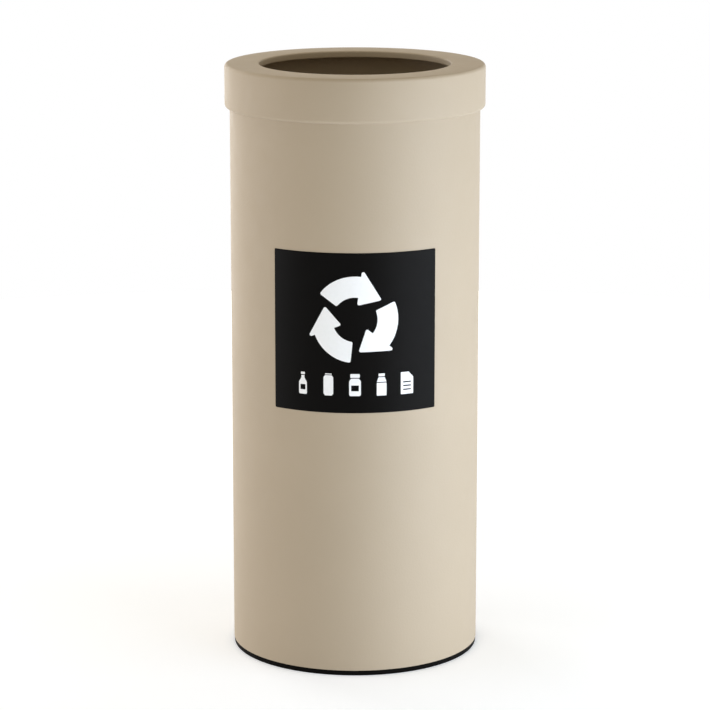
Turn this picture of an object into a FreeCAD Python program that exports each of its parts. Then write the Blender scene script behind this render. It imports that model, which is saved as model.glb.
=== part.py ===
import FreeCAD, Part
import math
import os

# Open-top recycling bin: a rolled steel shell on a moulded base ring, a lift-off lid ring with a
# round mouth, a printed label, and a lift-out steel liner with folding grab handles.
# Frame: millimetres, +Z up, origin on the floor at the centre of the bin, label towards -Y.

Vector = FreeCAD.Vector
ORIGIN = Vector(0, 0, 0)
UP = Vector(0, 0, 1)
ACROSS = Vector(1, 0, 0)
FULL_TURN = 360.0
FRONT = -90.0
BACK = 90.0
SHORTEST_EDGE = 1e-6

# Whole bin
TOTAL_HEIGHT = 718.0
SHELL_DIAMETER = 300.0

# Clearances
SEAT_GAP = 0.3
SLIDE_GAP = 0.5
FIT_GAP = 0.05
PIVOT_GAP = 0.08
WIRE_GAP = 0.1

# Shell: rolled sheet with an inward rolled rim and a butt weld down the back, ground flush inside
SHELL_WALL = 0.8
RIM_ROLL_DIAMETER = 6.0
WELD_LINE_WIDTH = 1.2
WELD_LINE_DEPTH = 0.3
WELD_END_MARGIN = 3.0

# Lid: one pressed ring with a skirt, a rolled hem and a flanged mouth
LID_WALL = 0.8
LID_OVERHANG = 6.1
LID_EDGE_RADIUS = 4.5
SKIRT_HEIGHT = 52.5
HEM_RETURN_RADIUS = 1.2
HEM_RETURN_HEIGHT = 5.0
MOUTH_DIAMETER = 229.0
MOUTH_EDGE_RADIUS = 2.0
MOUTH_FLANGE_DEPTH = 8.2
MOUTH_HEM_RADIUS = 1.5
MOUTH_HEM_HEIGHT = 4.0

# Base ring: non-slip foot with a slotted spigot that plugs into the floor pan's flange
FOOT_HEIGHT = 6.4
FOOT_STEP = 0.1
FOOT_DRAFT = 0.5
FOOT_WIDTH = 12.0
FOOT_INNER_HEIGHT = 4.5
FOOT_EDGE_RADIUS = 1.0
GRIP_GROOVE_COUNT = 2
GRIP_GROOVE_WIDTH = 1.2
GRIP_GROOVE_DEPTH = 0.8
SPIGOT_HEIGHT = 13.0
SPIGOT_WALL = 4.0
SPIGOT_EDGE_RADIUS = 0.8
SPIGOT_SLOT_COUNT = 12
SPIGOT_SLOT_WIDTH = 4.0

# Floor pan: pressed sheet with a raised centre and a flange turned down inside the shell
PAN_WALL = 0.8
PAN_LEVEL = 30.0
PAN_CORNER_RADIUS = 3.5
PAN_BOSS_DIAMETER = 190.0
PAN_BOSS_RISE = 3.0
PAN_BOSS_SLOPE = 6.0
PAN_BOSS_BEND = 4.0

# Label: vinyl sheet wrapped round the front of the shell, about square when seen from the front
LABEL_WIDTH = 203.0
LABEL_HEIGHT = 191.0
LABEL_MIDDLE_HEIGHT = 419.0
LABEL_THICKNESS = 0.25
LABEL_CORNER_RADIUS = 1.5

# Liner: tapered sheet tub with a wired rim and a recessed floor
LINER_WALL = 0.6
LINER_HEADROOM = 60.0
LINER_RIM_GAP = 2.5
LINER_TAPER = 6.0
LINER_COLLAR_HEIGHT = 95.0
LINER_BASE_HEIGHT = 16.0
LINER_TAPER_BEND = 40.0
RIM_WIRE_DIAMETER = 3.2
LINER_FLOOR_RECESS = 9.0
LINER_FLOOR_CORNER_RADIUS = 3.0
LINER_FLOOR_RIB_DIAMETER = 170.0
LINER_FLOOR_RIB_RISE = 2.5
LINER_FLOOR_RIB_SLOPE = 5.0

# Grab handles: bent wire loops that hang inside the liner from riveted clips
HANDLE_WIRE_DIAMETER = 5.0
HANDLE_WIDTH = 84.0
HANDLE_DROP = 52.0
HANDLE_BEND_RADIUS = 10.0
HANDLE_BUTT_GAP = 0.6
HANDLE_BELOW_RIM = 32.0
HANDLE_WALL_GAP = 0.7
CLIP_WALL = 1.0
CLIP_WIDTH = 30.0
CLIP_LEAF_HEIGHT = 20.0
CLIP_BEND_RADIUS = 1.5
RIVET_DIAMETER = 4.0
RIVET_HEAD_DIAMETER = 7.0
RIVET_HEAD_HEIGHT = 1.5
RIVET_SPACING = 16.0
RIVET_EDGE_MARGIN = 7.0

# Radii worked out from the shell
shell_outer = SHELL_DIAMETER / 2
shell_inner = shell_outer - SHELL_WALL
rim_inner = shell_outer - RIM_ROLL_DIAMETER
skirt_outer = shell_outer + LID_OVERHANG
pan_flange_outer = shell_inner - FIT_GAP
spigot_outer = pan_flange_outer - PAN_WALL - FIT_GAP
foot_outer = shell_outer - FOOT_STEP
rim_wire_bend = (RIM_WIRE_DIAMETER + LINER_WALL) / 2 + WIRE_GAP
liner_middle = rim_inner - LINER_RIM_GAP - 2 * rim_wire_bend - LINER_WALL / 2
liner_inner = liner_middle - LINER_WALL / 2
liner_outer = liner_middle + LINER_WALL / 2
liner_base_middle = liner_middle - LINER_TAPER

# Heights worked out from the floor up
lid_underside = TOTAL_HEIGHT - LID_WALL
hem_height = TOTAL_HEIGHT - SKIRT_HEIGHT
shell_top = lid_underside - SEAT_GAP
liner_bottom = PAN_LEVEL + SEAT_GAP
liner_top = lid_underside - LINER_HEADROOM
liner_floor_top = liner_bottom + LINER_FLOOR_RECESS
pivot_height = liner_top - HANDLE_BELOW_RIM

# Handle places worked out from the liner's round wall: the straight clip and the straight handle
# both stand clear of the curve at their ends
handle_radius = HANDLE_WIRE_DIAMETER / 2
clip_face = math.sqrt(liner_inner**2 - (CLIP_WIDTH / 2) ** 2) - FIT_GAP
pivot_x = math.sqrt(liner_inner**2 - (HANDLE_WIDTH / 2) ** 2) - handle_radius - HANDLE_WALL_GAP
eye_bend = handle_radius + PIVOT_GAP + CLIP_WALL / 2
rivet_height = pivot_height + eye_bend + CLIP_LEAF_HEIGHT - RIVET_EDGE_MARGIN


def left_of(heading):
    """Unit vector to the left of a heading in the XZ plane."""
    return Vector(-heading.z, 0, heading.x).normalize()


def edge_chain(corners, offset=0.0, closed=False):
    """Lines and arcs through corners (x, z, bend radius), shifted to the left by offset."""
    points = [Vector(x, 0, z) for x, z, bend in corners]
    bends = [bend for x, z, bend in corners]
    count = len(points)
    stops = []
    for i, point in enumerate(points):
        into = point - points[i - 1]
        out = points[(i + 1) % count] - point
        if not closed and i == 0:
            stops.append([point + left_of(out) * offset])
        elif not closed and i == count - 1:
            stops.append([point + left_of(into) * offset])
        elif bends[i] == 0:
            stops.append([point])
        else:
            turn = into.getAngle(out)
            setback = bends[i] * math.tan(turn / 2)
            begin = point - into.normalize() * setback
            end = point + out.normalize() * setback
            side = math.copysign(1.0, into.x * out.z - into.z * out.x)
            centre = begin + left_of(into) * (side * bends[i])
            middle = centre + (point - centre).normalize() * (bends[i] - side * offset)
            stops.append([begin + left_of(into) * offset, middle, end + left_of(out) * offset])
    edges = []
    for i, stop in enumerate(stops):
        if len(stop) == 3:
            edges.append(Part.Arc(*stop).toShape())
        if closed or i < count - 1:
            following = stops[(i + 1) % count][0]
            if stop[-1].distanceToPoint(following) > SHORTEST_EDGE:
                edges.append(Part.LineSegment(stop[-1], following).toShape())
    return edges, stops[0][0], stops[-1][-1]


def rounded_section(corners):
    """Face in the XZ plane bounded by a closed outline of corners (x, z, corner radius)."""
    edges, first, last = edge_chain(corners, closed=True)
    return Part.Face(Part.Wire(Part.__sortEdges__(edges)))


def sheet_section(corners, wall):
    """Face in the XZ plane of a bent sheet whose middle runs through corners (x, z, bend radius)."""
    left, left_start, left_end = edge_chain(corners, wall / 2)
    right, right_start, right_end = edge_chain(corners, -wall / 2)
    caps = [
        Part.LineSegment(left_start, right_start).toShape(),
        Part.LineSegment(left_end, right_end).toShape(),
    ]
    return Part.Face(Part.Wire(Part.__sortEdges__(left + right + caps)))


def spin(section, angle=FULL_TURN, facing=0.0):
    """Solid swept by a section turned about the bin's axis, centred on the facing direction."""
    solid = section.revolve(ORIGIN, UP, angle)
    solid.rotate(ORIGIN, UP, facing - angle / 2)
    return solid


def ring_block(inner, outer, low, high, angle=FULL_TURN, facing=0.0):
    """Plain ring, or part of one, between two radii and two heights."""
    corners = [(inner, low, 0), (outer, low, 0), (outer, high, 0), (inner, high, 0)]
    return spin(rounded_section(corners), angle, facing)


def arc_angle(length, radius):
    """Angle in degrees of an arc of that length."""
    return math.degrees(length / radius)


def opposite(shape):
    """Copy of a shape turned half a turn about the bin's axis."""
    turned = shape.copy()
    turned.rotate(ORIGIN, UP, FULL_TURN / 2)
    return turned


def body_shell():
    """Rolled sheet tube: inward rolled rim, and the fine line of the butt weld down the back."""
    middle = shell_outer - SHELL_WALL / 2
    bend = (RIM_ROLL_DIAMETER - SHELL_WALL) / 2
    crest = shell_top - SHELL_WALL / 2
    tube = spin(sheet_section([
        (middle, FOOT_HEIGHT, 0),
        (middle, crest, bend),
        (middle - 2 * bend, crest, bend),
        (middle - 2 * bend, crest - 2 * bend, bend),
        (middle - bend, crest - 2 * bend, 0),
    ], SHELL_WALL))
    weld_end = shell_top - RIM_ROLL_DIAMETER - WELD_END_MARGIN
    weld_line = ring_block(shell_outer - WELD_LINE_DEPTH, skirt_outer, 0, weld_end,
                           arc_angle(WELD_LINE_WIDTH, shell_outer), BACK)
    return tube.cut(weld_line)


def lid_cap():
    """Pressed ring: rolled mouth flange, flat top, skirt, and a hem rolled in towards the shell."""
    half = LID_WALL / 2
    mouth = MOUTH_DIAMETER / 2 + half
    mouth_hem = MOUTH_HEM_RADIUS - half
    flange_end = TOTAL_HEIGHT - MOUTH_FLANGE_DEPTH + half
    top = TOTAL_HEIGHT - half
    skirt = skirt_outer - half
    hem = hem_height + half
    hem_leg = shell_outer + SLIDE_GAP + half
    hem_return = HEM_RETURN_RADIUS - half
    hem_bend = skirt - hem_leg - hem_return
    return spin(sheet_section([
        (mouth + 2 * mouth_hem, flange_end + MOUTH_HEM_HEIGHT, 0),
        (mouth + 2 * mouth_hem, flange_end, mouth_hem),
        (mouth, flange_end, mouth_hem),
        (mouth, top, MOUTH_EDGE_RADIUS - half),
        (skirt, top, LID_EDGE_RADIUS - half),
        (skirt, hem, hem_bend),
        (hem_leg, hem, hem_return),
        (hem_leg, hem + HEM_RETURN_HEIGHT, 0),
    ], LID_WALL))


def floor_pan():
    """Pressed floor: raised centre, flat ring for the liner, flange down inside the shell."""
    half = PAN_WALL / 2
    level = PAN_LEVEL - half
    flange = pan_flange_outer - half
    boss = PAN_BOSS_DIAMETER / 2
    return spin(sheet_section([
        (0, level + PAN_BOSS_RISE, 0),
        (boss, level + PAN_BOSS_RISE, PAN_BOSS_BEND),
        (boss + PAN_BOSS_SLOPE, level, PAN_BOSS_BEND),
        (flange, level, PAN_CORNER_RADIUS - half),
        (flange, FOOT_HEIGHT, 0),
    ], PAN_WALL))


def base_ring():
    """Non-slip foot ring with grip grooves below and a slotted spigot above."""
    foot_inner = foot_outer - FOOT_WIDTH
    spigot_inner = spigot_outer - SPIGOT_WALL
    spigot_top = FOOT_HEIGHT + SPIGOT_HEIGHT
    ring = spin(rounded_section([
        (foot_outer, FOOT_HEIGHT, 0),
        (foot_outer - FOOT_DRAFT, 0, FOOT_EDGE_RADIUS),
        (foot_inner, 0, FOOT_EDGE_RADIUS),
        (foot_inner, FOOT_INNER_HEIGHT, FOOT_EDGE_RADIUS),
        (spigot_inner, FOOT_INNER_HEIGHT, FOOT_EDGE_RADIUS),
        (spigot_inner, spigot_top, SPIGOT_EDGE_RADIUS),
        (spigot_outer, spigot_top, SPIGOT_EDGE_RADIUS),
        (spigot_outer, FOOT_HEIGHT, 0),
    ]))
    sole_outer = foot_outer - FOOT_DRAFT
    pitch = (sole_outer - foot_inner) / (GRIP_GROOVE_COUNT + 1)
    for i in range(GRIP_GROOVE_COUNT):
        middle = foot_inner + pitch * (i + 1)
        half_width = GRIP_GROOVE_WIDTH / 2
        ring = ring.cut(ring_block(middle - half_width, middle + half_width,
                                   -GRIP_GROOVE_DEPTH, GRIP_GROOVE_DEPTH))
    slot_step = FULL_TURN / SPIGOT_SLOT_COUNT
    for i in range(SPIGOT_SLOT_COUNT):
        slot = ring_block(spigot_inner - SPIGOT_WALL, foot_outer, FOOT_HEIGHT,
                          spigot_top + SPIGOT_WALL,
                          arc_angle(SPIGOT_SLOT_WIDTH, spigot_outer), slot_step * (i + 0.5))
        ring = ring.cut(slot)
    return ring


def label():
    """Vinyl sheet wrapped round the front of the shell, with rounded corners."""
    inner = shell_outer + FIT_GAP
    low = LABEL_MIDDLE_HEIGHT - LABEL_HEIGHT / 2
    sheet = ring_block(inner, inner + LABEL_THICKNESS, low, low + LABEL_HEIGHT,
                       arc_angle(LABEL_WIDTH, shell_outer), FRONT)
    corners = [edge for edge in sheet.Edges if edge.Length < 2 * LABEL_THICKNESS]
    return sheet.makeFillet(LABEL_CORNER_RADIUS, corners)


def rivet_places():
    """Heights and sideways places of the rivets in one clip."""
    return [(side * RIVET_SPACING / 2, rivet_height) for side in (-1, 1)]


def rivet_holes(radius):
    """Round bars through both clips and both sides of the liner, to cut the rivet holes."""
    reach = liner_outer + RIVET_HEAD_HEIGHT
    bars = [Part.makeCylinder(radius, 2 * reach, Vector(-reach, y, z), ACROSS)
            for y, z in rivet_places()]
    return Part.makeCompound(bars)


def liner_wall():
    """Tapered tub wall, upright at the collar and base, with its rim rolled out round a wire."""
    taper_low = liner_bottom + LINER_BASE_HEIGHT
    taper_high = liner_top - LINER_COLLAR_HEIGHT
    crest = liner_top - LINER_WALL / 2
    wall = spin(sheet_section([
        (liner_base_middle, liner_bottom, 0),
        (liner_base_middle, taper_low, LINER_TAPER_BEND),
        (liner_middle, taper_high, LINER_TAPER_BEND),
        (liner_middle, crest, rim_wire_bend),
        (liner_middle + 2 * rim_wire_bend, crest, rim_wire_bend),
        (liner_middle + 2 * rim_wire_bend, crest - 2 * rim_wire_bend, rim_wire_bend),
        (liner_middle + rim_wire_bend, crest - 2 * rim_wire_bend, 0),
    ], LINER_WALL))
    return wall.cut(rivet_holes(RIVET_DIAMETER / 2 + FIT_GAP))


def liner_rim_wire():
    """Round wire inside the liner's rolled rim."""
    centre_height = liner_top - LINER_WALL / 2 - rim_wire_bend
    return Part.makeTorus(liner_middle + rim_wire_bend, RIM_WIRE_DIAMETER / 2,
                          Vector(0, 0, centre_height), UP)


def liner_floor():
    """Recessed disc with a raised centre, flanged down inside the foot of the liner wall."""
    half = LINER_WALL / 2
    level = liner_floor_top - half
    flange = liner_base_middle - LINER_WALL - FIT_GAP
    rib = LINER_FLOOR_RIB_DIAMETER / 2
    return spin(sheet_section([
        (0, level + LINER_FLOOR_RIB_RISE, 0),
        (rib, level + LINER_FLOOR_RIB_RISE, LINER_FLOOR_CORNER_RADIUS),
        (rib + LINER_FLOOR_RIB_SLOPE, level, LINER_FLOOR_CORNER_RADIUS),
        (flange, level, LINER_FLOOR_CORNER_RADIUS),
        (flange, liner_bottom, 0),
    ], LINER_WALL))


def handle_loop():
    """Right-hand handle: one bent wire whose ends butt together inside the clip's eye."""
    half_width = HANDLE_WIDTH / 2 - handle_radius
    foot = HANDLE_WIRE_DIAMETER - HANDLE_DROP
    path, start, end = edge_chain([
        (HANDLE_BUTT_GAP / 2, 0, 0),
        (half_width, 0, HANDLE_BEND_RADIUS),
        (half_width, foot, HANDLE_BEND_RADIUS),
        (-half_width, foot, HANDLE_BEND_RADIUS),
        (-half_width, 0, HANDLE_BEND_RADIUS),
        (-HANDLE_BUTT_GAP / 2, 0, 0),
    ])
    section = Part.Wire(Part.makeCircle(handle_radius, start, ACROSS))
    loop = Part.Wire(path).makePipeShell([section], True, False)
    loop.rotate(ORIGIN, UP, BACK)
    loop.translate(Vector(pivot_x, 0, pivot_height))
    return loop


def handle_clip():
    """Right-hand clip: a leaf riveted to the liner, its foot rolled into an eye round the handle."""
    leaf = clip_face - CLIP_WALL / 2
    section = sheet_section([
        (leaf, pivot_height + eye_bend + CLIP_LEAF_HEIGHT, 0),
        (leaf, pivot_height + eye_bend, CLIP_BEND_RADIUS),
        (pivot_x - eye_bend, pivot_height + eye_bend, eye_bend),
        (pivot_x - eye_bend, pivot_height - eye_bend, eye_bend),
        (pivot_x + eye_bend, pivot_height - eye_bend, eye_bend),
        (pivot_x + eye_bend, pivot_height, 0),
    ], CLIP_WALL)
    strap = section.extrude(Vector(0, CLIP_WIDTH, 0))
    strap.translate(Vector(0, -CLIP_WIDTH / 2, 0))
    return strap.cut(rivet_holes(RIVET_DIAMETER / 2 + FIT_GAP))


def dome_edge(seat, direction):
    """Arc of a round rivet head from its tip on the axis to its rim on the seat."""
    rim = RIVET_HEAD_DIAMETER / 2
    ball = (rim**2 + RIVET_HEAD_HEIGHT**2) / (2 * RIVET_HEAD_HEIGHT)
    half_angle = math.asin(rim / ball) / 2
    rise = ball * math.cos(half_angle) - ball + RIVET_HEAD_HEIGHT
    tip = Vector(seat + direction * RIVET_HEAD_HEIGHT, 0, 0)
    middle = Vector(seat + direction * rise, 0, ball * math.sin(half_angle))
    return Part.Arc(tip, middle, Vector(seat, 0, rim)).toShape()


def rivet(y, z):
    """Right-hand rivet with a domed head on the clip and another outside the liner."""
    inside = clip_face - CLIP_WALL
    outside = liner_outer + FIT_GAP
    rim = RIVET_HEAD_DIAMETER / 2
    shank = RIVET_DIAMETER / 2
    outline = [dome_edge(inside, -1), dome_edge(outside, 1)]
    outline += Part.makePolygon([
        Vector(inside, 0, rim), Vector(inside, 0, shank),
        Vector(outside, 0, shank), Vector(outside, 0, rim),
    ]).Edges
    outline.append(Part.LineSegment(
        Vector(inside - RIVET_HEAD_HEIGHT, 0, 0),
        Vector(outside + RIVET_HEAD_HEIGHT, 0, 0),
    ).toShape())
    solid = Part.Face(Part.Wire(Part.__sortEdges__(outline))).revolve(ORIGIN, ACROSS, FULL_TURN)
    solid.translate(Vector(0, y, z))
    return solid


def clip_rivets():
    """The rivets of both clips, as separate solids."""
    right = [rivet(y, z) for y, z in rivet_places()]
    return Part.makeCompound(right + [opposite(solid) for solid in right])


def main():
    os.makedirs("parts", exist_ok=True)
    right_handle = handle_loop()
    right_clip = handle_clip()
    parts = {
        "body_shell": body_shell(),
        "floor_pan": floor_pan(),
        "base_ring": base_ring(),
        "label": label(),
        "lid_cap": lid_cap(),
        "liner_wall": liner_wall(),
        "liner_floor": liner_floor(),
        "liner_rim_wire": liner_rim_wire(),
        "liner_handle_right": right_handle,
        "liner_handle_left": opposite(right_handle),
        "handle_clip_right": right_clip,
        "handle_clip_left": opposite(right_clip),
        "clip_rivets": clip_rivets(),
    }
    for name, shape in parts.items():
        box = shape.BoundBox
        print(f"{name}: solids {len(shape.Solids)}, valid {shape.isValid()}, "
              f"volume {shape.Volume:.1f}, z {box.ZMin:.2f} to {box.ZMax:.2f}, x to {box.XMax:.2f}")
        shape.exportStep(os.path.join("parts", name + ".step"))


main()
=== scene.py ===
import math

import bmesh
import bpy
from bpy.props import FloatProperty, FloatVectorProperty, IntProperty, PointerProperty
from mathutils import Matrix, Vector


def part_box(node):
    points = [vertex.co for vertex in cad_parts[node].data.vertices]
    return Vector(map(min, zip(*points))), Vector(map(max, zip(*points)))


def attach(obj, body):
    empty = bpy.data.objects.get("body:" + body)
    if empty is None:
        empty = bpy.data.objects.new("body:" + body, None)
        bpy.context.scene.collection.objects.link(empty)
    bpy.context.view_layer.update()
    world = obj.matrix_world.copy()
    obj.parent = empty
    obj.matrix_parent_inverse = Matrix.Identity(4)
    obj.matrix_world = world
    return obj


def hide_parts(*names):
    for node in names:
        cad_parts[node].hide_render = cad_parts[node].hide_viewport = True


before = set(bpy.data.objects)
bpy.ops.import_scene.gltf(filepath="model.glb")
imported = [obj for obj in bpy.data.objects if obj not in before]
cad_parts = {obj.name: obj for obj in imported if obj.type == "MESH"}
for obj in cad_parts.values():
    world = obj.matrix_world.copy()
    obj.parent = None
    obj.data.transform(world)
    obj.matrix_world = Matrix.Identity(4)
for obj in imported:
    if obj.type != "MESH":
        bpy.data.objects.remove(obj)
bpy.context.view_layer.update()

bl_info = {
    "name": "Open-top recycling bin",
    "version": (1, 0, 0),
    "blender": (4, 5, 0),
    "location": "View3D > Sidebar > Bin",
    "description": "Finished surfaces of a round open-top recycling bin, built on its CAD frame",
    "category": "Add Mesh",
}

WHITE = (1.0, 1.0, 1.0)

# Directions about the bin's axis: the label is at the front and the weld at the back.
FRONT = math.radians(-90)
BACK = math.radians(90)

# Camera: the square photograph's side in pixels, the sensor's width, and the tilt of a level view.
PHOTO_PIXELS = 710
SENSOR_WIDTH_MM = 36.0
LEVEL_VIEW = math.radians(90)

# Meshes: the largest turn between points of a bend, the angle from which an edge is sharp,
# and how close points are merged or taken as lying on a cut.
BEND_STEP = math.radians(12)
SHARP_ANGLE = math.radians(35)
MERGE_DISTANCE = 1e-6
CUT_DISTANCE = 1e-7

# Materials: the span that most of a noise lies in, and the whole span of a source.
NOISE_SPAN = (0.3, 0.7)
FULL_SPAN = (0.0, 1.0)

# Print: the direction from the ring's centre to the first arrow's tail, the steps along an arrow's
# sides, and the usual corner of an icon's boxes, as a share of the icon's height.
ARROWS_START = math.radians(144)
ARROW_STEPS = 10
ICON_CORNER = 0.02


def length(name, description, default):
    """A size in metres that a user can change."""
    return FloatProperty(name=name, description=description, default=default, min=0.0,
                         unit="LENGTH", precision=5)


def angle(name, description, degrees):
    """An angle that a user can change, given here in degrees."""
    return FloatProperty(name=name, description=description, default=math.radians(degrees),
                         subtype="ANGLE")


def colour(name, description, default):
    """A colour that a user can change."""
    return FloatVectorProperty(name=name, description=description, default=default,
                               subtype="COLOR", size=3, min=0.0, max=1.0)


def power(name, description, default):
    """A lamp's power that a user can change."""
    return FloatProperty(name=name, description=description, default=default, min=0.0, unit="POWER")


def share(name, description, default):
    """A share from 0 to 1 that a user can change."""
    return FloatProperty(name=name, description=description, default=default, min=0.0, max=1.0,
                         subtype="FACTOR")


def breadths(name, description, default):
    """A width and a height in metres that a user can change."""
    return FloatVectorProperty(name=name, description=description, default=default,
                               unit="LENGTH", size=2, min=0.0)


def count(name, description, default, least):
    """A whole number that a user can change."""
    return IntProperty(name=name, description=description, default=default, min=least)


class ShellSettings(bpy.types.PropertyGroup):
    """Sizes of the rolled steel shell."""

    radius: length("Radius", "Outside radius of the shell", 0.150)
    wall: length("Wall", "Sheet thickness of the shell", 0.0008)
    bottom: length("Bottom", "Height of the shell's lower edge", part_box("body_shell")[0][2])
    top: length("Top", "Height of the rolled rim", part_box("body_shell")[1][2])
    rim_roll: length("Rim roll", "Outside diameter of the rolled rim", 0.006)
    weld_width: length("Weld width", "Width of the weld's fine line down the back", 0.0012)
    weld_depth: length("Weld depth", "Depth of the weld's fine line", 0.0003)
    weld_edge: length("Weld edge", "Softening of the weld's line under the paint", 0.0004)
    weld_margin: length("Weld margin", "Space from the weld's line to the rolled rim", 0.003)
    segments: count("Segments", "Faces round the shell", 288, least=24)


class LidSettings(bpy.types.PropertyGroup):
    """Sizes of the lift-off lid ring."""

    radius: length("Radius", "Outside radius of the skirt", 0.1561)
    wall: length("Wall", "Sheet thickness of the lid", 0.0008)
    top: length("Top", "Height of the flat top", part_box("lid_cap")[1][2])
    hem: length("Hem", "Height of the lower edge of the hem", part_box("lid_cap")[0][2])
    edge_radius: length("Edge radius", "Outside radius of the top edge", 0.0045)
    hem_inner: length("Hem inner radius", "Radius of the hem's leg beside the shell", 0.1505)
    hem_return: length("Hem return", "Outside radius of the hem's inner bend", 0.0012)
    hem_leg: length("Hem leg", "Height of the hem's leg beside the shell", 0.005)
    mouth_radius: length("Mouth radius", "Inside radius of the mouth", 0.1145)
    mouth_edge: length("Mouth edge", "Outside radius of the mouth's top edge", 0.002)
    mouth_depth: length("Mouth depth", "Depth of the mouth's flange", 0.0082)
    mouth_hem: length("Mouth hem", "Outside radius of the flange's rolled edge", 0.0015)
    mouth_hem_leg: length("Mouth hem leg", "Height of the flange's rolled edge", 0.004)
    segments: count("Segments", "Faces round the lid", 288, least=24)


class PanSettings(bpy.types.PropertyGroup):
    """Sizes of the pressed floor pan."""

    flange_radius: length("Flange radius", "Outside radius of the flange", 0.14915)
    wall: length("Wall", "Sheet thickness of the pan", 0.0008)
    bottom: length("Bottom", "Height of the flange's lower edge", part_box("floor_pan")[0][2])
    level: length("Level", "Height of the ring that the liner stands on", 0.030)
    corner: length("Corner", "Outside radius between floor and flange", 0.0035)
    boss_radius: length("Boss radius", "Radius of the raised centre", 0.095)
    boss_rise: length("Boss rise", "Height of the raised centre", 0.003)
    boss_slope: length("Boss slope", "Width of the slope round the raised centre", 0.006)
    boss_bend: length("Boss bend", "Radius of the bends round the raised centre", 0.004)


class LabelSettings(bpy.types.PropertyGroup):
    """Sizes of the vinyl label and its print."""

    width: length("Width", "Width along the curve of the shell", 0.203)
    height: length("Height", "Height of the label", 0.191)
    middle: length("Middle", "Height of the label's middle above the floor", 0.419)
    adhesive: length("Adhesive", "Thickness of the glue under the label", 0.00005)
    thickness: length("Thickness", "Thickness of the vinyl", 0.00025)
    corner: length("Corner", "Radius of the label's corners", 0.0015)
    ink: length("Ink", "Thickness of the printed ink", 0.00006)
    column: length("Column", "Width of the columns that follow the curve", 0.003)
    arrows: count("Arrows", "Number of arrows in the ring", 3, least=2)
    arrows_rise: length("Arrows rise", "Height of the arrows' centre above the label's middle", 0.0165)
    arrows_radius: length("Arrows radius", "Radius of the arrows' middle line", 0.039)
    arrow_band: length("Arrow band", "Width of an arrow's shaft", 0.025)
    arrow_head: length("Arrow head", "Width of an arrow's head", 0.044)
    arrow_sweep: angle("Arrow sweep", "Turn from an arrow's tail to the foot of its head", 62.0)
    arrow_point: angle("Arrow point", "Turn from the foot of the head to its tip", 46.0)
    arrow_corner: length("Arrow corner", "Radius of an arrow's corners", 0.002)
    icons_drop: length("Icons drop", "How far the row of icons lies below the label's middle", 0.0615)
    icon_height: length("Icon height", "Height of an icon", 0.0265)
    icon_pitch: length("Icon pitch", "Space from one icon's middle to the next", 0.0315)


class LinerSettings(bpy.types.PropertyGroup):
    """Sizes of the lift-out liner."""

    wall: length("Wall", "Sheet thickness of the liner", 0.0006)
    top_radius: length("Top radius", "Radius of the middle of the sheet at the collar", 0.1372)
    taper: length("Taper", "How much smaller the radius is at the base", 0.006)
    bottom: length("Bottom", "Height of the liner's lower edge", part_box("liner_floor")[0][2])
    top: length("Top", "Height of the rolled rim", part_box("liner_wall")[1][2])
    collar: length("Collar", "Height of the upright collar", 0.095)
    base: length("Base", "Height of the upright base", 0.016)
    taper_bend: length("Taper bend", "Radius of the bends above and below the taper", 0.040)
    rim_bend: length("Rim bend", "Radius of the middle of the sheet round the rim wire", 0.002)
    floor_recess: length("Floor recess", "Height of the floor above the lower edge", 0.009)
    floor_gap: length("Floor gap", "Space between wall and floor flange", 0.00005)
    rib_radius: length("Rib radius", "Radius of the raised part of the floor", 0.085)
    rib_rise: length("Rib rise", "Height of the raised part of the floor", 0.0025)
    rib_slope: length("Rib slope", "Width of the slope round the raised part", 0.005)
    bend: length("Bend", "Radius of the floor's bends", 0.003)


class FinishSettings(bpy.types.PropertyGroup):
    """Colours of the finishes."""

    coat: colour("Powder coat", "Colour of the powder coat", (0.490, 0.399, 0.289))
    moulding: colour("Base moulding", "Colour of the base ring", (0.004, 0.0037, 0.0034))
    vinyl: colour("Vinyl", "Colour of the label", (0.0015, 0.0015, 0.0015))
    ink: colour("Ink", "Colour of the print", (0.98, 0.98, 0.975))
    zinc: colour("Galvanised sheet", "Colour of the handle clips", (0.41, 0.413, 0.415))
    plate: colour("Zinc plate", "Colour of the wire and rivets", (0.55, 0.545, 0.53))


class StageSettings(bpy.types.PropertyGroup):
    """Camera, background and floor."""

    camera_distance: length("Camera distance", "Level distance from the bin's axis", 3.5887)
    camera_height: length("Camera height", "Height of the camera", 1.1626)
    camera_pitch: angle("Camera pitch", "How far the camera looks down", 12.606)
    focal_pixels: FloatProperty(name="Focal length", description="Focal length in photograph pixels",
                                default=3015.0, min=100.0, subtype="PIXEL")
    ambient: colour("Ambient", "Light from all round, a little warmer than the lamps",
                    (0.41, 0.375, 0.294))
    floor_radius: length("Floor radius", "Radius of the pale floor", 2.2)
    floor_segments: count("Floor segments", "Edges round the floor", 96, least=12)
    floor_dark: colour("Floor dark", "Darker tone of the floor's speckle", (0.885, 0.91, 0.96))
    floor_light: colour("Floor light", "Lighter tone of the floor's speckle", (0.905, 0.93, 0.98))
    floor_glow: share("Floor glow", "White added to the floor as the camera sees it", 0.31)
    glow_start: length("Glow start", "Distance from the bin's axis where the glow starts to rise", 0.55)
    edge_glow: share("Edge glow", "White added at the floor's edge, to meet the background", 0.85)


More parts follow.
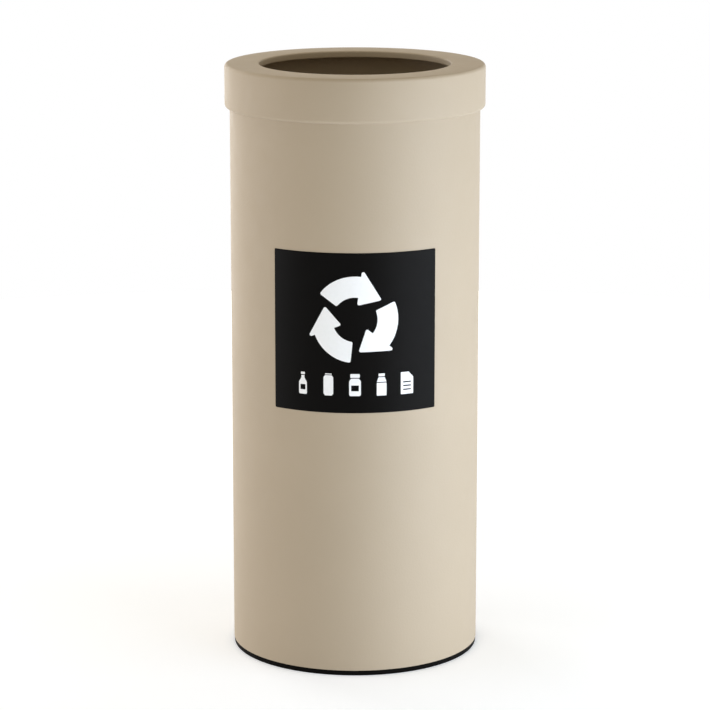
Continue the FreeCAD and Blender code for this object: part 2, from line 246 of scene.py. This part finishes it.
class LampSettings(bpy.types.PropertyGroup):
    """Places, sizes and powers of the softboxes. Turns are counted from the camera to the right."""

    distance: length("Distance", "Level distance of the softboxes from the bin's axis", 2.3)
    key_distance: length("Key distance", "Level distance of the key softbox, which is nearer", 1.6)
    key_turn: angle("Key turn", "Turn to the low key softbox", 60.0)
    key_middle: length("Key middle", "Height of the key softbox's middle", 0.25)
    key_size: breadths("Key size", "Width and height of the key softbox", (1.8, 0.5))
    key_power: power("Key power", "Power of the key softbox", 29.2)
    key_colour: colour("Key colour", "Daylight of the key softbox, cooler than the rest",
                       (0.73, 0.84, 1.0))
    side_turn: angle("Side turn", "Turn to the wide softbox at the left", -89.0)
    side_middle: length("Side middle", "Height of the side softbox's middle", 0.54)
    side_size: breadths("Side size", "Width and height of the side softbox", (2.0, 1.08))
    side_power: power("Side power", "Power of the side softbox", 26.4)
    side_colour: colour("Side colour", "Daylight of the side softbox, cooler than the rest",
                        (0.88, 0.91, 1.0))
    back_middle: length("Back middle", "Height of the middle of the softboxes behind", 1.0)
    back_left_turn: angle("Back left turn", "Turn to the softbox behind at the left", -145.0)
    back_left_size: breadths("Back left size", "Width and height of the one at the left", (1.3, 1.9))
    back_left_power: power("Back left power", "Power of the one at the left", 21.0)
    back_right_turn: angle("Back right turn", "Turn to the softbox behind at the right", 138.0)
    back_right_size: breadths("Back right size", "Width and height of the one at the right", (1.6, 1.9))
    back_right_power: power("Back right power", "Power of the one at the right", 3.0)
    top_height: length("Top height", "Height of the softbox overhead", 2.8)
    top_size: breadths("Top size", "Width and length of the softbox overhead", (2.0, 2.0))
    top_power: power("Top power", "Power of the softbox overhead", 9.5)


def left_of(heading):
    """Unit vector to the left of a heading in the plane."""
    return Vector((-heading.y, heading.x)).normalized()


def bend_points(corners, offset=0.0, closed=False):
    """Points through corners (across, up, bend radius), shifted to the left of travel by offset."""
    points = [Vector(corner[:2]) for corner in corners]
    last = len(points) - 1
    line = []
    for i, (point, corner) in enumerate(zip(points, corners)):
        bend = corner[2]
        if not closed and i in (0, last):
            heading = points[1] - points[0] if i == 0 else points[last] - points[last - 1]
            line.append(point + left_of(heading) * offset)
            continue
        into = (point - points[i - 1]).normalized()
        out = (points[(i + 1) % len(points)] - point).normalized()
        if bend == 0.0:
            line.append(point + left_of(into) * offset)
            continue
        turn = math.atan2(into.x * out.y - into.y * out.x, into.dot(out))
        side = math.copysign(1.0, turn)
        begin = point - into * (bend * math.tan(abs(turn) / 2))
        centre = begin + left_of(into) * (side * bend)
        spoke = (begin - centre).normalized() * (bend - side * offset)
        steps = max(2, math.ceil(abs(turn) / BEND_STEP))
        for k in range(steps + 1):
            line.append(centre + Matrix.Rotation(turn * k / steps, 2) @ spoke)
    return line


def sheet_outline(corners, wall):
    """Closed outline of a bent sheet whose middle runs through corners (radius, height, bend)."""
    return bend_points(corners, wall / 2) + bend_points(corners, -wall / 2)[::-1]


def ring_angles(segments, extra=()):
    """Angles of a full turn in equal steps, with extra ones where a feature has its edges."""
    even = [math.tau * k / segments for k in range(segments)]
    kept = [a for a in even if all(abs(a - b) > math.pi / segments for b in extra)]
    return sorted(kept + list(extra))


def lathe(outline, angles):
    """Mesh of a closed outline (radius, height) turned about the bin's axis."""
    mesh = bmesh.new()
    rings = []
    for turn in angles:
        across = Vector((math.cos(turn), math.sin(turn), 0))
        rings.append([mesh.verts.new(across * r + Vector((0, 0, z))) for r, z in outline])
    for here, there in zip(rings, rings[1:] + rings[:1]):
        for i in range(len(outline)):
            j = (i + 1) % len(outline)
            mesh.faces.new((here[i], there[i], there[j], here[j]))
    bmesh.ops.remove_doubles(mesh, verts=mesh.verts, dist=MERGE_DISTANCE)
    return mesh


def piece(name, mesh, material, body, slot, *nodes):
    """Makes an object of a mesh: smooth, riding on a body, standing for the given CAD nodes."""
    bmesh.ops.recalc_face_normals(mesh, faces=mesh.faces)
    data = bpy.data.meshes.new(name)
    mesh.to_mesh(data)
    mesh.free()
    data.shade_smooth()
    data.set_sharp_from_angle(angle=SHARP_ANGLE)
    data.materials.append(material)
    made = bpy.data.objects.new(name, data)
    bpy.context.scene.collection.objects.link(made)
    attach(made, body)
    if nodes:
        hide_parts(*nodes)


def refinish(material, *nodes):
    """Gives CAD nodes whose shape is kept a better material."""
    for node in nodes:
        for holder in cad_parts[node].material_slots:
            holder.link = "OBJECT"
            holder.material = material


def filled_outline(loops, column):
    """Flat mesh of outlines (along the curve, height), cut into columns that can follow the curve."""
    flat = bmesh.new()
    for loop in loops:
        corners = [flat.verts.new((s, 0, z)) for s, z in loop]
        for a, b in zip(corners, corners[1:] + corners[:1]):
            flat.edges.new((a, b))
    bmesh.ops.triangle_fill(flat, use_beauty=True, edges=flat.edges[:])
    reach = [vertex.co.x for vertex in flat.verts]
    for k in range(math.ceil(min(reach) / column), math.ceil(max(reach) / column)):
        everything = flat.verts[:] + flat.edges[:] + flat.faces[:]
        bmesh.ops.bisect_plane(flat, geom=everything, dist=CUT_DISTANCE,
                               plane_co=(k * column, 0, 0), plane_no=(1, 0, 0))
    flat.verts.index_update()
    return flat


def wrapped_slab(loops, inner, outer, column):
    """Closed thin mesh of flat outlines (along the curve, height) wrapped round the shell's front."""
    flat = filled_outline(loops, column)
    slab = bmesh.new()
    layers = []
    for radius in (inner, outer):
        layer = []
        for vertex in flat.verts:
            turn = FRONT + vertex.co.x / inner
            place = (radius * math.cos(turn), radius * math.sin(turn), vertex.co.z)
            layer.append(slab.verts.new(place))
        layers.append(layer)
    under, over = layers
    for face in flat.faces:
        ring = [vertex.index for vertex in face.verts]
        slab.faces.new([over[i] for i in ring])
        slab.faces.new([under[i] for i in reversed(ring)])
    for edge in flat.edges:
        if edge.is_boundary:
            a, b = (vertex.index for vertex in edge.verts)
            slab.faces.new((under[a], under[b], over[b], over[a]))
    flat.free()
    return slab


def rounded_box(half, low, high, corner=ICON_CORNER):
    """Corners (across, up, radius) of a box that reaches half to each side of the middle."""
    return [(-half, low, corner), (half, low, corner), (half, high, corner), (-half, high, corner)]


def tones(base, spread):
    """A darker and a lighter tone of a colour."""
    return [tuple(min(1.0, c * (1 + side * spread)) for c in base) for side in (-1, 1)]


class Finish:
    """A new procedural material and the short calls that wire its nodes."""

    def __init__(self, name):
        self.material = bpy.data.materials.new(name)
        self.material.use_nodes = True
        self.tree = self.material.node_tree
        self.shader = self.tree.nodes["Principled BSDF"]
        self.place = self.add("ShaderNodeTexCoord").outputs["Object"]

    def add(self, kind, **settings):
        """Adds a node and sets its plain properties."""
        node = self.tree.nodes.new(kind)
        for name, value in settings.items():
            setattr(node, name, value)
        return node

    def link(self, source, target):
        """Joins an output to an input."""
        self.tree.links.new(source, target)

    def set_sockets(self, **values):
        """Sets the shader's sockets by name, with _ for a space."""
        for name, value in values.items():
            self.shader.inputs[name.replace("_", " ")].default_value = value

    def feed(self, socket, source):
        """Drives one of the shader's sockets by a source."""
        self.link(source, self.shader.inputs[socket])

    def stretched(self, scale):
        """The object's coordinates stretched along each axis."""
        mapping = self.add("ShaderNodeMapping")
        mapping.inputs["Scale"].default_value = scale
        self.link(self.place, mapping.inputs["Vector"])
        return mapping.outputs["Vector"]

    def jittered(self, scale, reach):
        """The object's coordinates shifted by noise, by up to reach metres."""
        jitter = self.add("ShaderNodeTexNoise")
        jitter.inputs["Scale"].default_value = scale
        self.link(self.place, jitter.inputs["Vector"])
        shift = self.add("ShaderNodeVectorMath", operation="MULTIPLY_ADD")
        self.link(jitter.outputs["Color"], shift.inputs[0])
        shift.inputs[1].default_value = (reach, reach, reach)
        self.link(self.place, shift.inputs[2])
        return shift.outputs["Vector"]

    def noise(self, scale, detail=2.0, roughness=0.5, place=None):
        """Noise with so many waves to a unit of place, which is a metre unless it is stretched."""
        node = self.add("ShaderNodeTexNoise")
        node.inputs["Scale"].default_value = scale
        node.inputs["Detail"].default_value = detail
        node.inputs["Roughness"].default_value = roughness
        self.link(place or self.place, node.inputs["Vector"])
        return node.outputs["Fac"]

    def ramp(self, source, low, high, span=NOISE_SPAN):
        """Blends two colours as a source runs through a span."""
        node = self.add("ShaderNodeValToRGB")
        for stop, position, tone in zip(node.color_ramp.elements, span, (low, high)):
            stop.position = position
            stop.color = (*tone, 1.0)
        self.link(source, node.inputs["Fac"])
        return node.outputs["Color"]

    def between(self, source, low, high, span=NOISE_SPAN):
        """Goes from one number to another as a source runs through a span."""
        node = self.add("ShaderNodeMapRange")
        values = {"From Min": span[0], "From Max": span[1], "To Min": low, "To Max": high}
        for name, value in values.items():
            node.inputs[name].default_value = value
        self.link(source, node.inputs["Value"])
        return node.outputs["Result"]

    def bump(self, source, depth, below=None):
        """Raises the surface by a source, over another bump if one is given."""
        node = self.add("ShaderNodeBump")
        node.inputs["Distance"].default_value = depth
        self.link(source, node.inputs["Height"])
        if below is not None:
            self.link(below, node.inputs["Normal"])
        return node.outputs["Normal"]


def powder_coat(name, tint):
    """Satin powder coat: fine orange peel, faint clouding and slightly uneven gloss."""
    finish = Finish(name)
    finish.set_sockets(Specular_IOR_Level=0.26)
    cloud = finish.noise(scale=7.0, detail=3.0)
    finish.feed("Base Color", finish.ramp(cloud, *tones(tint, spread=0.02)))
    gloss = finish.noise(scale=60.0)
    finish.feed("Roughness", finish.between(gloss, low=0.57, high=0.65))
    wave = finish.bump(finish.noise(scale=45.0, detail=1.0), depth=0.00002)
    peel = finish.bump(finish.noise(scale=480.0, detail=1.0), depth=0.00012, below=wave)
    finish.feed("Normal", peel)
    return finish.material


def black_moulding(name, tint):
    """Matt moulded elastomer with a fine spark-eroded grain and a slightly warm sheen."""
    finish = Finish(name)
    finish.set_sockets(Specular_IOR_Level=0.035, Specular_Tint=(1.0, 0.86, 0.74, 1.0))
    cloud = finish.noise(scale=90.0)
    finish.feed("Base Color", finish.ramp(cloud, *tones(tint, spread=0.25)))
    gloss = finish.noise(scale=300.0)
    finish.feed("Roughness", finish.between(gloss, low=0.55, high=0.7))
    grain = finish.noise(scale=1500.0, detail=3.0, roughness=0.7)
    finish.feed("Normal", finish.bump(grain, depth=0.00008))
    return finish.material


def label_vinyl(name, tint):
    """Satin black vinyl with a faint calendered grain and a slightly warm sheen."""
    finish = Finish(name)
    finish.set_sockets(Specular_IOR_Level=0.06, Specular_Tint=(1.0, 0.92, 0.84, 1.0))
    cloud = finish.noise(scale=35.0, detail=3.0)
    finish.feed("Base Color", finish.ramp(cloud, *tones(tint, spread=0.2)))
    gloss = finish.noise(scale=140.0)
    finish.feed("Roughness", finish.between(gloss, low=0.475, high=0.505))
    ripple = finish.bump(finish.noise(scale=28.0, detail=1.0), depth=0.00003)
    grain = finish.bump(finish.noise(scale=900.0), depth=0.00002, below=ripple)
    finish.feed("Normal", grain)
    return finish.material


def screen_ink(name, tint):
    """White screen-printed ink: dense, slightly mottled and less glossy in places."""
    finish = Finish(name)
    mottle = finish.noise(scale=240.0, detail=3.0)
    finish.feed("Base Color", finish.ramp(mottle, *tones(tint, spread=0.015)))
    gloss = finish.noise(scale=400.0)
    finish.feed("Roughness", finish.between(gloss, low=0.46, high=0.56))
    grain = finish.noise(scale=1100.0)
    finish.feed("Normal", finish.bump(grain, depth=0.00002))
    return finish.material


def galvanised_sheet(name, tint):
    """Hot-dip galvanised steel: frosted spangle crystals, each with its own grey and gloss."""
    finish = Finish(name)
    finish.set_sockets(Metallic=0.55)
    spangle = finish.add("ShaderNodeTexVoronoi", feature="F1")
    spangle.inputs["Scale"].default_value = 85.0
    finish.link(finish.jittered(scale=120.0, reach=0.006), spangle.inputs["Vector"])
    crystal = finish.add("ShaderNodeSeparateColor")
    finish.link(spangle.outputs["Color"], crystal.inputs["Color"])
    grey = finish.ramp(crystal.outputs["Red"], *tones(tint, spread=0.08), FULL_SPAN)
    finish.feed("Base Color", grey)
    gloss = finish.between(crystal.outputs["Green"], low=0.46, high=0.55, span=FULL_SPAN)
    finish.feed("Roughness", gloss)
    frost = finish.noise(scale=700.0, detail=3.0, roughness=0.7)
    finish.feed("Normal", finish.bump(frost, depth=0.00004))
    return finish.material


def zinc_plate(name, tint):
    """Bright zinc plate on drawn wire: faint streaks and a little haze."""
    finish = Finish(name)
    finish.set_sockets(Metallic=1.0)
    along_wire = finish.stretched((300.0, 30.0, 300.0))
    streak = finish.noise(scale=1.0, detail=1.0, place=along_wire)
    finish.feed("Base Color", finish.ramp(streak, *tones(tint, spread=0.06), (0.25, 0.75)))
    haze = finish.noise(scale=110.0, detail=1.0)
    finish.feed("Roughness", finish.between(haze, low=0.28, high=0.38))
    return finish.material


# Each of the finishes' colours, with the name of its material and what makes it.
FINISHES = {
    "coat": ("beige_powder_coat", powder_coat),
    "moulding": ("black_base_moulding", black_moulding),
    "vinyl": ("black_label_vinyl", label_vinyl),
    "ink": ("white_screen_ink", screen_ink),
    "zinc": ("galvanised_spangle", galvanised_sheet),
    "plate": ("bright_zinc_plate", zinc_plate),
}


def finish_of(context, kind):
    """The material of one of the finishes, made once."""
    name, make = FINISHES[kind]
    return bpy.data.materials.get(name) or make(name, getattr(context.scene.bin_finish, kind))


def press_weld_line(mesh, shell, weld_end):
    """Presses the fine line of the ground butt weld into the outside of the back."""
    reach = (shell.weld_width / 2 - shell.weld_edge / 2) / shell.radius
    for vertex in mesh.verts:
        radius = vertex.co.xy.length
        turn = abs(math.atan2(vertex.co.y, vertex.co.x) - BACK)
        outside = radius > shell.radius - shell.wall / 2
        if outside and turn < reach and vertex.co.z < weld_end - shell.weld_edge / 2:
            vertex.co.xy *= (radius - shell.weld_depth) / radius


class BIN_OT_shell(bpy.types.Operator):
    """Build the rolled steel shell with its rolled rim and butt weld"""

    bl_idname = "bin.build_shell"
    bl_label = "Shell"

    def execute(self, context):
        shell = context.scene.bin_shell
        middle = shell.radius - shell.wall / 2
        bend = (shell.rim_roll - shell.wall) / 2
        crest = shell.top - shell.wall / 2
        weld_end = shell.top - shell.rim_roll - shell.weld_margin
        outline = sheet_outline([
            (middle, shell.bottom, 0),
            (middle, weld_end - shell.weld_edge, 0),
            (middle, weld_end, 0),
            (middle, crest, bend),
            (middle - 2 * bend, crest, bend),
            (middle - 2 * bend, crest - 2 * bend, bend),
            (middle - bend, crest - 2 * bend, 0),
        ], shell.wall)
        half = shell.weld_width / 2
        edges = (half - shell.weld_edge, half)
        extra = [BACK + side * edge / shell.radius for side in (-1, 1) for edge in edges]
        mesh = lathe(outline, ring_angles(shell.segments, extra))
        press_weld_line(mesh, shell, weld_end)
        piece("shell", mesh, finish_of(context, "coat"), "bin", "powder_coat", "body_shell")
        return {"FINISHED"}


class BIN_OT_lid(bpy.types.Operator):
    """Build the pressed lid ring with its rolled hem and flanged mouth"""

    bl_idname = "bin.build_lid"
    bl_label = "Lid"

    def execute(self, context):
        lid = context.scene.bin_lid
        half = lid.wall / 2
        mouth = lid.mouth_radius + half
        roll = lid.mouth_hem - half
        flange = lid.top - lid.mouth_depth + half
        skirt = lid.radius - half
        hem = lid.hem + half
        leg = lid.hem_inner + half
        hem_return = lid.hem_return - half
        outline = sheet_outline([
            (mouth + 2 * roll, flange + lid.mouth_hem_leg, 0),
            (mouth + 2 * roll, flange, roll),
            (mouth, flange, roll),
            (mouth, lid.top - half, lid.mouth_edge - half),
            (skirt, lid.top - half, lid.edge_radius - half),
            (skirt, hem, skirt - leg - hem_return),
            (leg, hem, hem_return),
            (leg, hem + lid.hem_leg, 0),
        ], lid.wall)
        mesh = lathe(outline, ring_angles(lid.segments))
        piece("lid", mesh, finish_of(context, "coat"), "lid", "powder_coat", "lid_cap")
        return {"FINISHED"}


class BIN_OT_base(bpy.types.Operator):
    """Build the floor pan and finish the moulded base ring"""

    bl_idname = "bin.build_base"
    bl_label = "Base"

    def execute(self, context):
        pan = context.scene.bin_pan
        half = pan.wall / 2
        level = pan.level - half
        flange = pan.flange_radius - half
        outline = sheet_outline([
            (0, level + pan.boss_rise, 0),
            (pan.boss_radius, level + pan.boss_rise, pan.boss_bend),
            (pan.boss_radius + pan.boss_slope, level, pan.boss_bend),
            (flange, level, pan.corner - half),
            (flange, pan.bottom, 0),
        ], pan.wall)
        mesh = lathe(outline, ring_angles(context.scene.bin_shell.segments))
        piece("pressed_floor", mesh, finish_of(context, "coat"), "bin", "powder_coat", "floor_pan")
        refinish(finish_of(context, "moulding"), "base_ring")
        return {"FINISHED"}


class BIN_OT_label(bpy.types.Operator):
    """Build the black vinyl label on the front of the shell"""

    bl_idname = "bin.build_label"
    bl_label = "Label"

    def execute(self, context):
        label = context.scene.bin_label
        across = label.width / 2
        low = label.middle - label.height / 2
        high = label.middle + label.height / 2
        outline = bend_points(rounded_box(across, low, high, label.corner), closed=True)
        inner = context.scene.bin_shell.radius + label.adhesive
        mesh = wrapped_slab([outline], inner, inner + label.thickness, label.column)
        piece("label_sheet", mesh, finish_of(context, "vinyl"), "bin", "label_vinyl", "label")
        return {"FINISHED"}


def on_circle(radius, turn):
    """Point of a circle in the label's plane."""
    return Vector((radius * math.cos(turn), radius * math.sin(turn)))


def curved_arrow(label, start):
    """Outline of one arrow that bends clockwise round a circle."""
    middle = label.arrows_radius
    inner = middle - label.arrow_band / 2
    outer = middle + label.arrow_band / 2
    neck = start - label.arrow_sweep
    tip = neck - label.arrow_point
    corner = label.arrow_corner
    sweep = [start + (neck - start) * k / ARROW_STEPS for k in range(ARROW_STEPS + 1)]
    loop = [(*on_circle(outer, start), corner)]
    loop += [(*on_circle(outer, turn), 0) for turn in sweep[1:]]
    loop += [
        (*on_circle(middle + label.arrow_head / 2, neck), corner),
        (*on_circle(middle, tip), corner),
        (*on_circle(middle - label.arrow_head / 2, neck), corner),
    ]
    loop += [(*on_circle(inner, turn), 0) for turn in reversed(sweep[1:])]
    loop.append((*on_circle(inner, start), corner))
    return bend_points(loop, closed=True)


# An icon is a list of parts, each an outline with the outlines of its holes. Their corners
# (across, up, radius) are shares of the icon's height.


def upright(half_outline):
    """Outline that mirrors its right half about the icon's middle."""
    return half_outline + [(-x, z, corner) for x, z, corner in reversed(half_outline)]


def bottle_icon():
    """Drinks bottle with a cap and a bare panel."""
    body = upright([(0.19, -0.5, 0.06), (0.19, 0.05, 0.09), (0.075, 0.24, 0.05), (0.075, 0.35, 0.01)])
    return [[body, rounded_box(0.12, -0.30, -0.06)], [rounded_box(0.095, 0.39, 0.5)]]


def can_icon():
    """Drinks can with a drawn-in top and bottom."""
    body = upright([(0.15, -0.5, 0.02), (0.22, -0.41, 0.05), (0.22, 0.33, 0.05), (0.15, 0.42, 0.02)])
    return [[body], [rounded_box(0.15, 0.455, 0.5, 0.01)]]


def jar_icon():
    """Glass jar with a screw lid."""
    body = upright([(0.26, -0.5, 0.08), (0.26, 0.18, 0.10), (0.17, 0.29, 0.03)])
    return [[body, rounded_box(0.17, -0.28, -0.02)], [rounded_box(0.21, 0.33, 0.5, 0.03)]]


def carton_icon():
    """Drinks carton with a folded gable."""
    gable = upright([(0.22, 0.12, 0.01), (0.14, 0.33, 0.01)])
    return [[rounded_box(0.22, -0.5, 0.08)], [gable], [rounded_box(0.14, 0.37, 0.5)]]


def paper_icon():
    """Sheet of paper with a cut corner and ruled lines."""
    page = [(-0.3, -0.5, 0.03), (0.3, -0.5, 0.03), (0.3, 0.26, 0.02), (0.07, 0.5, 0.02),
            (-0.3, 0.5, 0.03)]
    rules = [rounded_box(0.19, z, z + 0.06, 0.01) for z in (-0.32, -0.15, 0.02)]
    return [[page, *rules]]


ICONS = (bottle_icon, can_icon, jar_icon, carton_icon, paper_icon)


def placed_loops(outlines, scale, shift):
    """Outlines of an icon's part in metres, at their place on the label."""
    loops = []
    for outline in outlines:
        corners = [tuple(value * scale for value in corner) for corner in outline]
        loops.append([point + shift for point in bend_points(corners, closed=True)])
    return loops


def joined(slabs):
    """One mesh of several, which are freed."""
    whole = bmesh.new()
    for slab in slabs:
        data = bpy.data.meshes.new("icon_part")
        slab.to_mesh(data)
        slab.free()
        whole.from_mesh(data)
        bpy.data.meshes.remove(data)
    return whole


def printed(context, loops):
    """Slab of ink on the label, in the form of flat outlines."""
    label = context.scene.bin_label
    inner = context.scene.bin_shell.radius + label.adhesive + label.thickness
    return wrapped_slab(loops, inner, inner + label.ink, label.column)


class BIN_OT_print(bpy.types.Operator):
    """Print the ring of arrows and the row of icons on the label"""

    bl_idname = "bin.build_print"
    bl_label = "Print"

    def execute(self, context):
        label = context.scene.bin_label
        ink = finish_of(context, "ink")
        centre = Vector((0, label.middle + label.arrows_rise))
        for k in range(label.arrows):
            arrow = curved_arrow(label, ARROWS_START - math.tau * k / label.arrows)
            mesh = printed(context, [[point + centre for point in arrow]])
            piece(f"printed_arrow_{k + 1}", mesh, ink, "bin", "label_vinyl")
        for k, icon in enumerate(ICONS):
            across = (k - (len(ICONS) - 1) / 2) * label.icon_pitch
            shift = Vector((across, label.middle - label.icons_drop))
            parts = [placed_loops(outlines, label.icon_height, shift) for outlines in icon()]
            mesh = joined([printed(context, loops) for loops in parts])
            piece(f"printed_{icon.__name__}", mesh, ink, "bin", "label_vinyl")
        return {"FINISHED"}


class BIN_OT_liner(bpy.types.Operator):
    """Build the coated liner and finish its handles, clips and rivets"""

    bl_idname = "bin.build_liner"
    bl_label = "Liner"

    def execute(self, context):
        liner = context.scene.bin_liner
        coat = finish_of(context, "coat")
        angles = ring_angles(context.scene.bin_shell.segments)
        wall = lathe(self.wall_outline(liner), angles)
        piece("liner_tub", wall, coat, "liner", "powder_coat", "liner_wall")
        floor = lathe(self.floor_outline(liner), angles)
        piece("liner_base", floor, coat, "liner", "powder_coat", "liner_floor")
        refinish(finish_of(context, "zinc"), "handle_clip_left", "handle_clip_right")
        refinish(finish_of(context, "plate"), "liner_handle_left", "liner_handle_right", "clip_rivets",
                 "liner_rim_wire")
        return {"FINISHED"}

    def wall_outline(self, liner):
        """Section of the tapered wall, from its lower edge to the rim rolled round the wire."""
        base = liner.top_radius - liner.taper
        crest = liner.top - liner.wall / 2
        return sheet_outline([
            (base, liner.bottom, 0),
            (base, liner.bottom + liner.base, liner.taper_bend),
            (liner.top_radius, liner.top - liner.collar, liner.taper_bend),
            (liner.top_radius, crest, liner.rim_bend),
            (liner.top_radius + 2 * liner.rim_bend, crest, liner.rim_bend),
            (liner.top_radius + 2 * liner.rim_bend, crest - 2 * liner.rim_bend, liner.rim_bend),
            (liner.top_radius + liner.rim_bend, crest - 2 * liner.rim_bend, 0),
        ], liner.wall)

    def floor_outline(self, liner):
        """Section of the floor, from its raised middle to the lower edge of its flange."""
        level = liner.bottom + liner.floor_recess - liner.wall / 2
        flange = liner.top_radius - liner.taper - liner.wall - liner.floor_gap
        return sheet_outline([
            (0, level + liner.rib_rise, 0),
            (liner.rib_radius, level + liner.rib_rise, liner.bend),
            (liner.rib_radius + liner.rib_slope, level, liner.bend),
            (flange, level, liner.bend),
            (flange, liner.bottom, 0),
        ], liner.wall)


def softbox(name, place, target, size, energy, tint=WHITE):
    """Rectangular area lamp that faces a target."""
    data = bpy.data.lights.new(name, "AREA")
    data.color = tint
    data.shape = "RECTANGLE"
    data.size, data.size_y = size
    data.energy = energy
    lamp = bpy.data.objects.new(name, data)
    lamp.location = place
    lamp.rotation_euler = (Vector(target) - Vector(place)).to_track_quat("-Z", "Y").to_euler()
    bpy.context.scene.collection.objects.link(lamp)


def standing_softbox(name, turn, distance, middle, size, energy, tint=WHITE):
    """Upright softbox that faces the bin's axis, turned from the camera to the right."""
    place = (distance * math.sin(turn), -distance * math.cos(turn), middle)
    softbox(name, place, (0, 0, middle), size, energy, tint)


def seen_directly(tree):
    """Output that is 1 for rays from the camera, a mirror or glass, and 0 for the rest."""
    path = tree.nodes.new("ShaderNodeLightPath")
    total = path.outputs["Is Camera Ray"]
    for ray in ("Is Glossy Ray", "Is Transmission Ray"):
        larger = tree.nodes.new("ShaderNodeMath")
        larger.operation = "MAXIMUM"
        tree.links.new(total, larger.inputs[0])
        tree.links.new(path.outputs[ray], larger.inputs[1])
        total = larger.outputs["Value"]
    return total


class BIN_OT_stage(bpy.types.Operator):
    """Set the camera, lamps, floor and background"""

    bl_idname = "bin.build_stage"
    bl_label = "Stage"

    def execute(self, context):
        stage = context.scene.bin_stage
        context.scene.view_settings.view_transform = "Standard"
        self.camera(context, stage)
        self.background(context, stage)
        self.floor(context, stage)
        self.softboxes(context.scene.bin_lamps)
        return {"FINISHED"}

    def camera(self, context, stage):
        """Camera at the photograph's viewing angle."""
        data = bpy.data.cameras.new("camera")
        data.sensor_width = SENSOR_WIDTH_MM
        data.lens = SENSOR_WIDTH_MM * stage.focal_pixels / PHOTO_PIXELS
        camera = bpy.data.objects.new("camera", data)
        camera.location = (0, -stage.camera_distance, stage.camera_height)
        camera.rotation_euler = (LEVEL_VIEW - stage.camera_pitch, 0, 0)
        context.scene.collection.objects.link(camera)
        context.scene.camera = camera

    def softboxes(self, lamps):
        """A low key lamp at the right, a wide one at the left, tall ones behind and one overhead."""
        standing_softbox("key_softbox", lamps.key_turn, lamps.key_distance, lamps.key_middle,
                         lamps.key_size, lamps.key_power, lamps.key_colour)
        standing_softbox("side_softbox", lamps.side_turn, lamps.distance, lamps.side_middle,
                         lamps.side_size, lamps.side_power, lamps.side_colour)
        standing_softbox("back_left_softbox", lamps.back_left_turn, lamps.distance, lamps.back_middle,
                         lamps.back_left_size, lamps.back_left_power)
        standing_softbox("back_right_softbox", lamps.back_right_turn, lamps.distance, lamps.back_middle,
                         lamps.back_right_size, lamps.back_right_power)
        overhead = (0, 0, lamps.top_height)
        softbox("top_softbox", overhead, (0, 0, 0), lamps.top_size, lamps.top_power)

    def background(self, context, stage):
        """World that is white to the eye and gives even light."""
        world = bpy.data.worlds.new("studio")
        world.use_nodes = True
        tree = world.node_tree
        tone = tree.nodes.new("ShaderNodeValToRGB")
        unseen, seen = tone.color_ramp.elements
        unseen.color = (*stage.ambient, 1.0)
        seen.color = (*WHITE, 1.0)
        tree.links.new(seen_directly(tree), tone.inputs["Fac"])
        tree.links.new(tone.outputs["Color"], tree.nodes["Background"].inputs["Color"])
        context.scene.world = world

    def floor(self, context, stage):
        """Pale round floor that keeps the bin's shadow and meets the white background at its edge."""
        mesh = bmesh.new()
        bmesh.ops.create_circle(mesh, cap_ends=True, segments=stage.floor_segments,
                                radius=stage.floor_radius)
        data = bpy.data.meshes.new("floor")
        mesh.to_mesh(data)
        mesh.free()
        floor = bpy.data.objects.new("floor", data)
        context.scene.collection.objects.link(floor)
        data.materials.append(self.floor_finish(stage))

    def floor_finish(self, stage):
        """Matt white paper sweep, seen brighter by the camera than it lights the bin."""
        finish = Finish("pale_studio_floor")
        finish.set_sockets(Roughness=0.9, Specular_IOR_Level=0.0, Emission_Color=(*WHITE, 1.0))
        speckle = finish.noise(scale=40.0, detail=3.0)
        finish.feed("Base Color", finish.ramp(speckle, stage.floor_dark, stage.floor_light, FULL_SPAN))
        distance = finish.add("ShaderNodeVectorMath", operation="LENGTH")
        finish.link(finish.place, distance.inputs[0])
        glow = finish.between(distance.outputs["Value"], stage.floor_glow, stage.edge_glow,
                              (stage.glow_start, stage.floor_radius))
        seen = finish.add("ShaderNodeMath", operation="MULTIPLY")
        finish.link(seen_directly(finish.tree), seen.inputs[0])
        finish.link(glow, seen.inputs[1])
        finish.feed("Emission Strength", seen.outputs["Value"])
        return finish.material


class BIN_PT_panel(bpy.types.Panel):
    """Lists the steps that build the bin"""

    bl_label = "Recycling bin"
    bl_idname = "BIN_PT_panel"
    bl_space_type = "VIEW_3D"
    bl_region_type = "UI"
    bl_category = "Bin"

    def draw(self, context):
        for step in STEPS:
            self.layout.operator(step.bl_idname)


SETTINGS = {
    "bin_shell": ShellSettings,
    "bin_lid": LidSettings,
    "bin_pan": PanSettings,
    "bin_label": LabelSettings,
    "bin_liner": LinerSettings,
    "bin_finish": FinishSettings,
    "bin_stage": StageSettings,
    "bin_lamps": LampSettings,
}
STEPS = (
    BIN_OT_shell,
    BIN_OT_lid,
    BIN_OT_base,
    BIN_OT_label,
    BIN_OT_print,
    BIN_OT_liner,
    BIN_OT_stage,
)


def register():
    """Adds the settings, the steps and the panel to Blender."""
    for name, group in SETTINGS.items():
        bpy.utils.register_class(group)
        setattr(bpy.types.Scene, name, PointerProperty(type=group))
    for kind in (*STEPS, BIN_PT_panel):
        bpy.utils.register_class(kind)


def unregister():
    """Takes the panel, the steps and the settings out of Blender."""
    for kind in (BIN_PT_panel, *reversed(STEPS)):
        bpy.utils.unregister_class(kind)
    for name, group in reversed(SETTINGS.items()):
        delattr(bpy.types.Scene, name)
        bpy.utils.unregister_class(group)


def main():
    """Builds the bin on its stage."""
    register()
    bpy.ops.bin.build_shell()
    bpy.ops.bin.build_lid()
    bpy.ops.bin.build_base()
    bpy.ops.bin.build_label()
    bpy.ops.bin.build_print()
    bpy.ops.bin.build_liner()
    bpy.ops.bin.build_stage()


if __name__ == "__main__":
    main()
